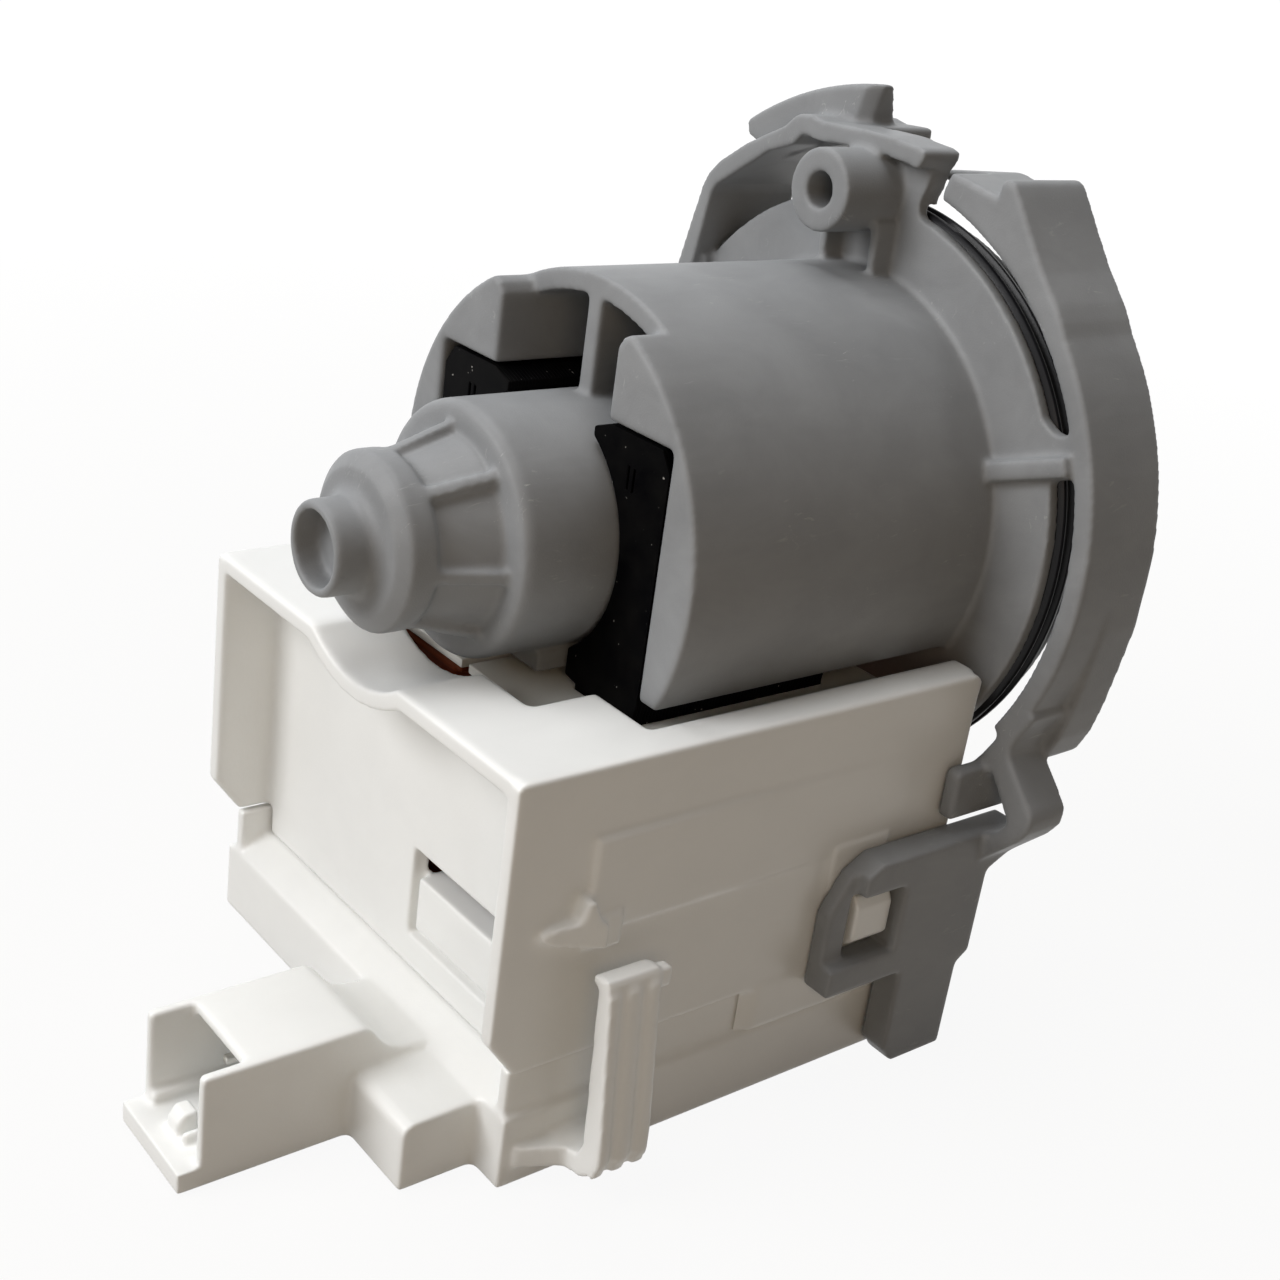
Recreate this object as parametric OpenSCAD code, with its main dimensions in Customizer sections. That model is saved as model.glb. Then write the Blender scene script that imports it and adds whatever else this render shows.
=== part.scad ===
// Drain pump of a dishwasher: a grey pump body with the rotor well, a white coil pack
// that slides over the well from the front, and an impeller behind the sump flange.
// Frame: the origin is where the rotor axis meets the front face of the flange. +Y points
// to the sump, +X is the latch side, +Z is up. All sizes are millimetres.

/* [Rotor well and hub] */
// outer radius of the rotor well
well_r = 15; // [14.8:0.05:15.1]
// wall of the rotor well
well_wall = 1.8; // [1.5:0.1:1.9]
// from the flange face to the front face of the well
well_len = 59.8; // [59:0.1:60.5]
// radius of the cone where it meets the front face of the well
cone_root_r = 11.5; // [11:0.1:12]
// radius of the cone behind the front disc
cone_tip_r = 9.3; // [9.1:0.1:9.8]
// length of the cone
cone_len = 7.7; // [7.4:0.1:8]
// radius of the front disc
disc_r = 10.3; // [10:0.1:11]
// thickness of the front disc with its chamfer
disc_t = 4.7; // [4.3:0.1:5]
// outer radius of the small tube at the front
nose_r = 5.45; // [5.2:0.05:5.8]
// length of the small tube
nose_len = 5.1; // [4.6:0.1:5.6]
// radius of the blind bore in the small tube
nose_bore_r = 4.3; // [4:0.1:4.5]
// depth of the blind bore
nose_bore_len = 3.4; // [2.8:0.1:3.6]
// thickness of the ribs round the cone
hub_rib_t = 1.6; // [1.2:0.1:2]

/* [Shroud and flange] */
// outer radius of the shroud round the stator
shroud_r = 29; // [28.9:0.05:29.3]
// wall of the shroud
shroud_wall = 2.6; // [2.3:0.1:2.7]
// from the flange face to the front edge of the shroud
shroud_len = 42.9; // [41:0.5:45]
// from the flange face to the front faces of the cheeks
cheek_len = 47.9; // [47.7:0.1:49]
// inner radius of the guard band
guard_r = 40.9; // [40.7:0.1:41.2]
// clear gap between the flange rim and the guard band
guard_gap = 3.5; // [3.3:0.1:3.6]
// thickness of the flange rim
flange_t = 1.8; // [1.4:0.1:2]
// step from the flange rim down to the spigot that carries the port seal
spigot_step = 2.4; // [2.2:0.1:2.6]
// reach of the spigot behind the flange face
spigot_len = 8.5; // [8:0.1:9]
// thickness of the floor behind the impeller
floor_t = 4; // [3.9:0.1:4.3]
// how far the lips of the port seal stand past the flange rim
seal_rise = 0.4; // [0.3:0.05:0.5]
// length of the port seal along the rotor axis
seal_len = 3.6; // [3.4:0.1:3.8]
// wall of the guard band
guard_wall = 2.9; // [2.6:0.1:3.2]
// reach of the guard band behind the flange face
guard_len = 12.7; // [12:0.1:13.5]
// depth of the hood and of the strut
hood_len = 6.5; // [6:0.1:7]

/* [Screw boss and latch] */
// radius of the boss for the screw
boss_r = 5.1; // [4.9:0.1:5.4]
// reach of the boss in front of the flange
boss_len = 10; // [9:0.5:11]
// radius of the screw hole
screw_hole_r = 2.2; // [2.1:0.05:2.4]
// from the centre of the screw hole up to the inside of the guard band
boss_drop = 2.5; // [2.3:0.1:2.8]
// thickness left between the screw hole and the port seal
hole_floor = 1.4; // [1:0.1:1.6]
// thickness of the latch plate
latch_t = 4.2; // [3.8:0.1:4.4]
// height of the opening in the latch
latch_hole_h = 9.4; // [8.8:0.1:9.8]

/* [Stator core and coils] */
// half the width of the lamination stack
core_half_w = 22.2; // [21.9:0.1:22.3]
// height of the core above the rotor axis
core_top = 15.3; // [15.2:0.05:15.4]
// length of the lamination stack along the rotor axis
stack_len = 30; // [28:0.5:31]
// from the flange face to the front of the stack
stack_front = 47.5; // [47.3:0.1:47.6]
// width of each core leg
leg_w = 11; // [10:0.1:11.4]
// height of the lower yoke of the core
yoke_h = 9; // [8:0.1:10]
// radial gap between the rotor well and the poles
pole_gap = 0.6; // [0.4:0.05:0.8]
// width of the gap between the pole horns
horn_gap = 17; // [16.5:0.1:17.4]
// wall of the bobbins
bobbin_wall = 1; // [0.9:0.05:1.1]
// thickness of each winding
winding_t = 6.6; // [6:0.1:6.8]

/* [Coil cover] */
// half the width of the coil cover
cover_half_w = 33.6; // [33.3:0.1:33.8]
// wall of the coil cover
cover_wall = 2.2; // [1.8:0.05:2.3]
// depth of the top edge of the cover below the rotor axis
cover_top = 13.75; // [13.6:0.05:13.9]
// from the flange face to the front edge of the cover
cover_front = 71.3; // [70.8:0.1:72]
// from the flange face to the back edge of the cover
cover_back = 1.4; // [1:0.1:2]
// recess of the front panel behind the front edge
panel_recess = 7.8; // [7:0.1:8.2]
// radius of the saddle under the hub
saddle_r = 16.7; // [16.3:0.1:17]

/* [Terminal base] */
// depth of the base plane below the rotor axis
base_z = 66.5; // [66.2:0.1:67]
// width of the connector socket
socket_w = 14.6; // [14.2:0.1:15]
// wall of the connector socket
socket_wall = 1.4; // [1.2:0.05:1.5]
// from the flange face to the mouth of the socket
socket_front = 96.1; // [95:0.1:97]
// length of the floor tongue in front of the socket
tongue_len = 2.6; // [2:0.1:3]
// thickness of the cable clip
clip_t = 2.6; // [2.3:0.1:2.8]
// height of the top of the cable clip above the base plane
clip_h = 29.5; // [28:0.5:30]

/* [Rotor and clutch] */
// radius of the rotor shaft
shaft_r = 2.5; // [2.4:0.05:2.6]
// radial clearance of the running fits on the shaft
run_clear = 0.05; // [0.03:0.01:0.08]
// radius of the magnet
magnet_r = 12.2; // [11.8:0.1:12.3]
// length of the magnet
magnet_len = 32; // [30:0.5:34]
// outer radius of the bearings
bearing_r = 4.6; // [4.4:0.05:4.7]
// length of the bearings
bearing_len = 7; // [6:0.5:7]
// outer radius of the rubber boots of the bearings
boot_r = 6.9; // [6.7:0.05:7]
// play of the rotor along the shaft at each end
axial_play = 0.4; // [0.35:0.05:0.6]
// swept angle of the driving dog
dog_angle = 50; // [44:1:52]
// swept angle of the driven stop in the hub
stop_angle = 60; // [54:1:62]

/* [Impeller] */
// radius of the impeller
impeller_r = 24; // [22:0.5:25]
// height of the impeller above its back plate
impeller_h = 14; // [13.5:0.1:15]
// number of blades
blade_count = 6; // [5:1:7]
// thickness of a blade
blade_t = 1.6; // [1.2:0.1:2]
// outer radius of the impeller hub
hub_r = 10.5; // [10.3:0.1:11]
// inner radius of the impeller hub
hub_cup_r = 8.8; // [8.6:0.05:8.9]

/* [Hidden] */
// number of chords drawn for a round face
$fn = 96;
// overlap that joins two parts of one moulding
lap = 0.4;
// reach of a cutting shape past the face it cuts
cut = 1;
// gap between two pieces that are pushed together
seat = 0.02;
// air between pieces that are near each other
air = 0.35;

grey = [0.55, 0.56, 0.57];
white = [0.93, 0.93, 0.9];
black = [0.06, 0.06, 0.07];
steel = [0.72, 0.73, 0.75];

// stations along the rotor axis, from the front to the sump
disc_back = -well_len - cone_len;
disc_front = disc_back - disc_t;
nose_front = disc_front - nose_len;
front_floor_t = 2;
well_end = -well_len + front_floor_t;
cavity_r = well_r - well_wall;

// front bearing with its rubber boot
boot_len = bearing_len + 1.2;
front_boot_y = well_end - boot_len;
front_bearing_y = well_end - bearing_len - 0.2;
// rear bearing sits in the plate that closes the well
plate_plug = 10.6;
plate_rim_r = 18;
plate_rim_t = 2.4;
plate_front = -plate_plug;
rear_bearing_y = plate_front + 0.3;
rear_boot_y = rear_bearing_y + 0.1;
seal_groove_r = 11.6;
seal_groove_y = -5.2;
seal_groove_w = 2.2;

// rotor stack between the two bearings
washer_t = 0.8;
washer_r = 5.4;
rotor_front = front_bearing_y + bearing_len + axial_play;
rotor_back = rear_bearing_y - axial_play;
bush_front = rotor_front + washer_t;
bush_back = rotor_back - washer_t;
bush_r = 6;
bush_rim_r = 8.5;
magnet_mid = -stack_front + stack_len / 2;
shaft_front = front_bearing_y - 0.8;

// impeller and the clutch in its hub
plate_gap = 1.6;
impeller_y = floor_t + plate_gap;
impeller_plate = 1.6;
dog_front = impeller_y + impeller_plate + air;
dog_len = 5.4;
dog_hub_r = 4.6;
dog_r = hub_cup_r - air;
cap_front = dog_front + dog_len + air;
cap_t = 2.6;
cap_dome = 2.4;
hub_len = cap_front + cap_t - impeller_y;
shaft_back = cap_front + 1.6;
damper_angle = 13;

// flange, hood and guard outlines grow with the guard band
rim = guard_r / 40.9;
flange_r = guard_r - guard_gap;
spigot_r = flange_r - spigot_step;
boss_x = -0.5;
boss_z = guard_r - boss_drop;
collar_r = flange_r + 1.3;
hood_y = -3.1;
fill_t = hood_y + hood_len;
plate_r = spigot_r - 3.4;
guard_front = -0.3;
port_seal_r = flange_r + seal_rise;

// stator: a core with two legs, poles round the well and a yoke below
pole_r = well_r + pole_gap;
leg_gap = 0.1;
cover_in = cover_half_w - cover_wall;
coil_air = 1.9;
coil_out = cover_in - coil_air;
bob_out = coil_out - winding_t;
leg_out = bob_out - bobbin_wall - leg_gap;
leg_x = leg_out - leg_w;
mark_x = leg_x + leg_w / 2 - 0.4;
mark_z = core_top - 5;
core_back = -stack_front + stack_len;
core_bottom = -60.4;
yoke_top = core_bottom + yoke_h;
bobbin_top = -17.2;
bobbin_bottom = yoke_top + 0.3;
bobbin_flange_t = 1.2;
bob_in = leg_x - leg_gap - bobbin_wall;
bob_front = -stack_front - leg_gap - bobbin_wall;
bob_back = core_back + leg_gap + bobbin_wall;
wind_in = 1.4;

// coil cover
cover_y0 = -cover_front;
cover_y1 = -cover_back;
panel_y = cover_y0 + panel_recess;
top_t = 2.2;
top_cut = cover_in - 3;
hub_cut = 18.4;
skirt_z = -50.7;
panel_foot = -54.6;
foot_half_w = cover_in - 1;
hub_cut_y = -59.6;

// terminal base
base_bottom = -base_z;
base_front = -67.8;
base_back = -1.4;
base_top = -57;
base_half_w = cover_half_w - 0.3;
base_left = cover_half_w + 0.4;
neck_out = cover_half_w - 1.1;
neck_half_w = cover_in - 0.2;
neck_wall = 1;
base_floor_t = 2.4;
socket_x = 2.4;
socket_top = -52;
socket_floor = base_bottom + 2.8;
socket_lid = -90.7;
socket_back = -78.5;
socket_end = -76.5;
pin_pitch = 5;
pin_x = socket_x + socket_w / 2 - pin_pitch / 2;
pin_z = -58.4;
pin_w = 1;
pin_tip = 7.5;
pin_len = 28.6;
clip_x = cover_half_w + 4.2;
clip_y = -61;
clip_w = 7.2;

// latch on the pump body
latch_x = cover_half_w + 0.4;
latch_out = latch_x + latch_t;
latch_hole_top = -38.6;
latch_hole_low = latch_hole_top - latch_hole_h;

// outline drawn as x and z, given depth from y = a to y = b
module along_y(a, b) {
    translate([0, b, 0]) rotate([90, 0, 0]) linear_extrude(b - a) children();
}

// outline drawn as y and z, given width from x = a to x = b
module along_x(a, b) {
    translate([a, 0, 0]) rotate([90, 0, 90]) linear_extrude(b - a) children();
}

// outline drawn as radius and y, turned round the rotor axis
module turned() {
    rotate([-90, 0, 0]) rotate_extrude() children();
}

// round bar along the rotor axis from y = a to y = b
module rod(r, a, b) {
    translate([0, a, 0]) rotate([-90, 0, 0]) cylinder(r = r, h = b - a);
}

// ring along the rotor axis
module ring(r_in, r_out, a, b) {
    difference() {
        rod(r_out, a, b);
        rod(r_in, a - cut, b + cut);
    }
}

// box given by its two ends along x, y and z
module block(x, y, z) {
    translate([x[0], y[0], z[0]]) cube([x[1] - x[0], y[1] - y[0], z[1] - z[0]]);
}

// wedge of the x and z plane from angle a to angle b, out to radius r
module wedge(a, b, r) {
    steps = ceil((b - a) / 30);
    polygon(concat([[0, 0]], [for (i = [0:steps])
        r * [cos(a + (b - a) * i / steps), sin(a + (b - a) * i / steps)]]));
}

// same piece on the left and on the right
module both_sides() {
    children();
    mirror([1, 0, 0]) children();
}

// pump body: rotor well with its hub
module well_outside() {
    turned() polygon([
        [0, nose_front], [nose_r - 0.4, nose_front], [nose_r, nose_front + 0.4],
        [nose_r, disc_front - 1.1], [nose_r + 0.4, disc_front - 0.5], [nose_r + 1.3, disc_front],
        [disc_r - 1.8, disc_front + 0.1], [disc_r, disc_front + 1.4], [disc_r, disc_back - 0.3],
        [disc_r - 0.3, disc_back], [cone_tip_r, disc_back], [cone_root_r, -well_len],
        [well_r - 1.2, -well_len], [well_r - 0.35, -well_len + 0.35], [well_r, -well_len + 1.2],
        [well_r, lap], [0, lap]]);
}

// seven ribs round the cone
module hub_ribs() {
    for (a = [97, 49, -5, -52, -104, -156, 149])
        rotate([0, -a, 0])
            translate([0, 0, -hub_rib_t / 2])
                linear_extrude(hub_rib_t)
                    polygon([[cone_tip_r - 1, disc_back - lap], [disc_r - 0.1, disc_back - lap],
                        [well_r - 2, -well_len + lap], [cone_tip_r - 1, -well_len + lap]]);
}

// spaces inside the well, from the front bearing to the closing plate
module well_inside() {
    rod(cavity_r, well_end, floor_t + cut);
    rod(boot_r + seat, front_boot_y, well_end + lap);
    rod(shaft_r + 0.8, shaft_front - 0.6, well_end);
    rod(nose_bore_r, nose_front - cut, nose_front + nose_bore_len);
    rod(plate_rim_r + seat, floor_t - plate_rim_t - seat, floor_t + cut);
}

// shroud, its two thick cheeks, the fin above the well and the key below it
module shroud() {
    difference() {
        union() {
            ring(shroud_r - shroud_wall, shroud_r, -shroud_len, lap);
            both_sides() cheek();
        }
        block([-shroud_r - cut, shroud_r + cut], [-cheek_len - cut, -0.01],
            [-shroud_r - cut, -cover_top + 0.15]);
    }
    block([-1.3, 1.3], [-shroud_len, lap], [well_r - lap, shroud_r - shroud_wall + lap]);
    block([-7.9, 7.9], [-51, lap], [-well_r - 1.1, -well_r + 1.4]);
}

// one cheek: it fills the shroud beside and above the core
module cheek() {
    slot_x = core_half_w + air;
    slot_z = core_top + air;
    intersection() {
        rod(shroud_r, -cheek_len, -8);
        along_y(-cheek_len - cut, -8) polygon([
            [11.1, slot_z], [slot_x, slot_z], [slot_x, -20], [40, -20], [40, 30],
            [13.2, 30], [13.2, 25.8], [11.9, 25.3], [11.1, 24]]);
    }
}

// flange, floor behind the impeller and spigot with the lip that holds the port seal
module flange() {
    rod(flange_r, 0, flange_t);
    rod(spigot_r - lap, 0, floor_t);
    ring(plate_r, spigot_r, 0, spigot_len);
    ring(plate_r, spigot_r + 1.3, spigot_len - 1.6, spigot_len);
}

// boss with a blind screw hole, its two gussets and the plate that joins it to the flange
module screw_boss() {
    translate([boss_x, 0, boss_z]) rod(boss_r, -boss_len, flange_t);
    for (x = [-5, 3.8])
        along_x(x - 0.7, x + 0.7) polygon([[lap, shroud_r - 1.8], [-3.2, shroud_r - 1.8],
            [-3.8, boss_z - 3], [lap, boss_z - 3]]);
    difference() {
        along_y(0, fill_t) polygon(rim * [[boss_x, 34], [boss_x, 43.1], [8.4, 43.1], [8.4, 42.3],
            [7.9, 40.3], [7.2, 38.6], [7.2, 37.8], [7.5, 36.8], [8.4, 36.1], [9.8, 35.6],
            [10, 33]]);
        rod(collar_r, flange_t, guard_len);
    }
}

// hood round the top left of the flange: a wall that stands in front of it, and the band
// behind that wall with the upper tab
module hood() {
    outer = [[-35.6, 9.5], [-34.6, 14], [-32.8, 21.6], [-30.3, 31.4], [-29.9, 33], [-29.1, 34.6],
        [-27.4, 36.5], [-22.3, 40], [-15.8, 43.3], [-14.3, 44.7], [-13.4, 45.3], [-12.5, 45.5],
        [-10.6, 45.6], [-8.7, 45.2], [-4.1, 45.5]];
    inner = [[-8.8, 42.7], [-12.1, 43], [-13.5, 41.4], [-18, 39.7], [-27.1, 33.5], [-27.9, 32.2],
        [-29.6, 22.4], [-31.4, 14], [-32.4, 9.5]];
    difference() {
        union() {
            along_y(hood_y, fill_t) polygon(rim * concat(outer, [[3.1, 45.7], [8.7, 45.2],
                [9.4, 44.9], [9.5, 44.4], [8.6, 42.7], [2.5, 43.3], [-3.5, 43.2]], inner));
            along_y(fill_t - lap, guard_len) polygon(rim * concat(outer, [[-4.1, 42.9]], inner));
            upper_tab();
        }
        rod(collar_r, flange_t, guard_len + cut);
    }
    block([-31.2 * rim, -28.8 * rim], [-1.5, flange_t], [20.5 * rim, 23.4 * rim]);
}

// tab standing on the hood: a wedge turned round the axis, with its right end chamfered
module upper_tab() {
    tab_root = 43.2 * rim;
    tab_out = 50.8 * rim;
    tab_y = 2;
    intersection() {
        turned() polygon([[tab_root, tab_y], [tab_out - 0.4, tab_y], [tab_out, tab_y + 0.4],
            [tab_out, tab_y + 3], [tab_out - 0.5, tab_y + 3.6], [tab_root, tab_y + 7]]);
        along_y(0, guard_len) polygon(rim * [[0, 60], [0, 43], [-26.4, 36], [-27.4, 39],
            [-28.4, 42], [-27.8, 43.4], [-27.8, 60]]);
        translate([-7 * rim, 0, 45 * rim]) rotate([0, 14.6, 0]) translate([0, 0, -10])
            linear_extrude(20) polygon([[-60, 1], [-1.3, 1], [-1.3, tab_y], [0.3, tab_y + 1.6],
                [0.3, guard_len], [-60, guard_len]]);
    }
}

// guard band round the right of the flange with its widened top
module guard() {
    intersection() {
        ring(guard_r, guard_r + guard_wall, guard_front, guard_len);
        along_y(guard_front - cut, guard_len + cut) wedge(-30, 47, 60);
    }
    difference() {
        union() {
            along_y(guard_front, guard_len) polygon(rim * [[29.6, 27.6], [33.5, 28.1], [32.3, 30.1],
                [31, 31.8], [28.2, 34.8], [25.2, 38.7], [22.4, 42.5], [21.4, 43.7], [20.5, 44],
                [19.7, 43.8], [19.3, 43.1], [19.4, 41.7], [14.4, 42.6], [11.4, 43],
                [10.6, 40.4], [10.4, 38]]);
            along_y(hood_len + air, guard_len) polygon(rim * [[1.2, 39], [15, 37], [15, 42.5],
                [11.9, 43.1], [1.2, 41.3]]);
            along_y(hood_len - lap, guard_len) polygon(rim * [[43.7, 0.9], [43.8, -5.1],
                [42.9, -11.6], [42.1, -16.8], [41.2, -20.8], [39.8, -24], [37.4, -26],
                [34.5, -27.9], [31.2, -25.2], [36, -12], [38, 0.9]]);
        }
        rod(guard_r, guard_front - cut, guard_len + cut);
    }
}

// spoke from the shroud to the guard with the web beside it
module spoke() {
    rotate([0, -21, 0])
        block([shroud_r - 1.1, guard_r + 0.1], [-1.6, flange_t], [-1.25, 1.25]);
    web = [[-1, 17.2], [0.6, 18.6], [3.9, 18.8], [3.9, 27], [3, 26.1], [2, 26.3], [1, 27.4],
        [0.2, 29.4], [-1, 31]];
    along_y(0, flange_t) polygon([for (p = web) (flange_r + p[0]) * [cos(p[1]), sin(p[1])]]);
}

// strut from the foot of the guard to the latch
module strut() {
    upper = [[36.2, -21.8], [37.6, -17.9], [38.8, -14.4], [41.4, -16.8], [39.4, -20.4],
        [38.9, -22], [39.1, -23.2], [41.1, -25.4], [44, -28.4], [44.5, -29.6], [44.2, -31.4],
        [43, -33.2]];
    bend = [[39.6, -33.4], [40.9, -31.4]];
    along_y(guard_front, hood_len) polygon(concat(
        [for (p = upper) [rim * p[0], p[1]]],
        [[latch_out, -38.2], [latch_x, -38.2], [latch_x, -36.4]],
        [for (p = bend) [rim * p[0], p[1]]],
        [[latch_x + 2.6, -25.9], [latch_x + 2.1, -27.2], [latch_x + 2.1, -32.3],
            [latch_x, -32.3], [latch_x, -25.7]]));
}

// latch: a plate with an opening that snaps over the catch of the coil cover
module latch() {
    along_x(latch_x, latch_x + 2.2) polygon([[-5.4, -26.2], [-4.6, -25.6], [hood_len, -25.6],
        [hood_len, -32.3], [-5.4, -32.3]]);
    difference() {
        union() {
            along_x(latch_x, latch_out) polygon([[-24.2, -41], [-21.4, -36.2], [-18.2, -34.3],
                [hood_len, -34.3], [hood_len, -38.2], [2.1, -40.4], [2.1, -52.5], [0.1, -53.9],
                [0.1, base_bottom + 0.2], [-9, base_bottom + 0.2], [-11, base_bottom + 2.6],
                [-11, -52], [-24.2, -52]]);
        }
        block([latch_x - cut, latch_out + cut], [-20.5, -13.2], [latch_hole_low, latch_hole_top]);
        block([latch_x + 2.3, latch_out + cut], [-26, -20.5 + 0.01], [latch_hole_low, -30]);
    }
}

module pump_body() {
    color(grey) difference() {
        union() {
            well_outside();
            hub_ribs();
            shroud();
            flange();
            screw_boss();
            hood();
            guard();
            spoke();
            strut();
            latch();
        }
        well_inside();
        translate([boss_x, 0, boss_z]) rod(screw_hole_r, -boss_len - cut, flange_t - hole_floor);
    }
}

// rubber ring with two lips, seated on the spigot behind the flange
module port_seal() {
    inner = spigot_r + seat;
    deep = port_seal_r - inner;
    shape = [[0, 0], [0.71, 0], [1, 0.17], [1, 0.31], [0.68, 0.42], [0.68, 0.58], [1, 0.69],
        [0.96, 0.86], [0.64, 1], [0, 1]];
    color(black) turned() polygon([for (p = shape)
        [inner + p[0] * deep, flange_t + p[1] * seal_len]]);
}

// laminated core: two legs joined by the yoke below, with the poles round the well
module stator_core() {
    h = horn_gap / 2;
    w = core_half_w;
    color(black) difference() {
        along_y(-stack_front, core_back) polygon([
            [h, core_top - 1.1], [h + 3, core_top], [w - 1.7, core_top], [w, core_top - 2.4],
            [w, -14.6], [leg_out, -16.4], [leg_out, core_bottom], [-leg_out, core_bottom],
            [-leg_out, -16.4], [-w, -14.6], [-w, core_top - 2.4], [-w + 1.7, core_top],
            [-h - 3, core_top], [-h, core_top - 1.1], [-h, 0], [-h - 0.2, -16.4],
            [-leg_x, -16.8], [-leg_x, yoke_top], [leg_x, yoke_top], [leg_x, -16.8],
            [h + 0.2, -16.4], [h, 0]]);
        rod(pole_r, -stack_front - cut, core_back + cut);
        for (x = [mark_x, -mark_x])
            for (dx = [-0.55, 0.55])
                block([x + dx - 0.2, x + dx + 0.2], [-stack_front - cut, -stack_front + 0.5],
                    [mark_z - 1.4, mark_z + 1.4]);
    }
}

// bobbin of the right coil: a square tube round the core leg with a flange at each end
module bobbin_right() {
    flange_in = wind_in - 0.7;
    flange_out = coil_out + 0.5;
    flange_f = bob_front - winding_t - 0.5;
    flange_b = bob_back + winding_t + 0.5;
    color([0.9, 0.9, 0.86]) difference() {
        union() {
            block([bob_in, bob_out], [bob_front, bob_back], [bobbin_bottom, bobbin_top]);
            block([flange_in, flange_out], [flange_f, flange_b],
                [bobbin_bottom, bobbin_bottom + bobbin_flange_t]);
            block([flange_in, flange_out], [flange_f, flange_b],
                [bobbin_top - bobbin_flange_t, bobbin_top]);
        }
        block([leg_x - leg_gap, leg_out + leg_gap], [-stack_front - leg_gap, core_back + leg_gap],
            [bobbin_bottom - cut, bobbin_top + cut]);
    }
}

module bobbin_left() {
    mirror([1, 0, 0]) bobbin_right();
}

// winding of the right coil, wrapped close round its bobbin
module winding_right() {
    z0 = bobbin_bottom + bobbin_flange_t + seat;
    z1 = bobbin_top - bobbin_flange_t - seat;
    g = seat;
    color([0.45, 0.12, 0.06]) difference() {
        block([wind_in, coil_out], [bob_front - winding_t, bob_back + winding_t], [z0, z1]);
        block([bob_in - g, bob_out + g], [bob_front - g, bob_back + g], [z0 - cut, z1 + cut]);
        for (x = [wind_in, coil_out])
            for (y = [bob_front - winding_t, bob_back + winding_t])
                translate([x, y, z0 - cut]) rotate(45) cube([1.8, 1.8, 2 * (z1 - z0)], center = true);
    }
}

module winding_left() {
    mirror([1, 0, 0]) winding_right();
}

// small cut-out that opens when the windings run too hot, lying on the rear of the left coil
module thermal_cutout() {
    y0 = bob_back + winding_t + 0.4;
    color([0.85, 0.83, 0.76]) block([-22, -10], [y0, y0 + 4.4], [-38, -32]);
}

// three enamelled leads: pin to coil, coil to coil through the cut-out, coil to pin
module coil_leads() {
    r = 0.5;
    y0 = bob_back + winding_t + 1.6;
    z0 = -44;
    color([0.7, 0.3, 0.12]) {
        translate([-16, y0, z0]) cylinder(r = r, h = 5.98, $fn = 24);
        translate([-16, y0, z0]) rotate([0, 90, 0]) cylinder(r = r, h = 36, $fn = 24);
        translate([-16, y0, z0]) sphere(r = r, $fn = 24);
        translate([20, y0, z0]) sphere(r = r, $fn = 24);
        translate([20, bob_back + winding_t + seat, z0]) rotate([-90, 0, 0])
            cylinder(r = r, h = 1.58, $fn = 24);
    }
}

// white cover of the coils: open at the top and the back, with a recessed front panel
module coil_cover() {
    w = cover_half_w;
    top = -cover_top;
    color(white) difference() {
        union() {
            cover_top_plate();
            both_sides() cover_side();
            block([-cover_in - lap, cover_in + lap], [panel_y, panel_y + cover_wall],
                [skirt_z, top - 0.5]);
            block([-foot_half_w, foot_half_w], [panel_y, panel_y + cover_wall],
                [panel_foot, skirt_z + lap]);
            side_trim();
        }
        rod(saddle_r, cover_y0 - cut, hub_cut_y + cut);
        block([4.9, 24], [panel_y - cut, panel_y + cover_wall + cut], [-49.3, -38.4]);
    }
    color(white) front_tab();
}

// top of the cover, cut out round the hub and the shroud
module cover_top_plate() {
    top = -cover_top;
    translate([0, 0, top - top_t]) linear_extrude(top_t) polygon([
        [-cover_in - lap, cover_y0], [cover_in + lap, cover_y0], [cover_in + lap, cover_y1],
        [top_cut, cover_y1], [top_cut, -50.5], [hub_cut, -50.5], [hub_cut, hub_cut_y],
        [-hub_cut, hub_cut_y], [-hub_cut, -50.5], [-top_cut, -50.5], [-top_cut, cover_y1],
        [-cover_in - lap, cover_y1]]);
    difference() {
        rod(saddle_r + top_t, cover_y0, hub_cut_y);
        block([-30, 30], [cover_y0 - cut, hub_cut_y + cut], [top - 0.5, 30]);
    }
    low = top - top_t;
    both_sides() along_y(cover_y0, hub_cut_y) polygon([[8.8, low + lap], [8.8, low - 0.8],
        [9.3, low - 0.5], [10, low - 0.2], [10.7, low - 0.05], [11.3, low], [11.3, low + lap]]);
}

// right side wall of the cover
module cover_side() {
    top = -cover_top;
    along_x(cover_in, cover_half_w) polygon([
        [cover_y0, top - 0.6], [cover_y0 + 0.6, top], [cover_y1 - 1, top], [cover_y1, top - 1],
        [cover_y1 - 0.8, skirt_z], [cover_y0 + 3.8, skirt_z], [cover_y0, skirt_z + 5.1]]);
}

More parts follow.
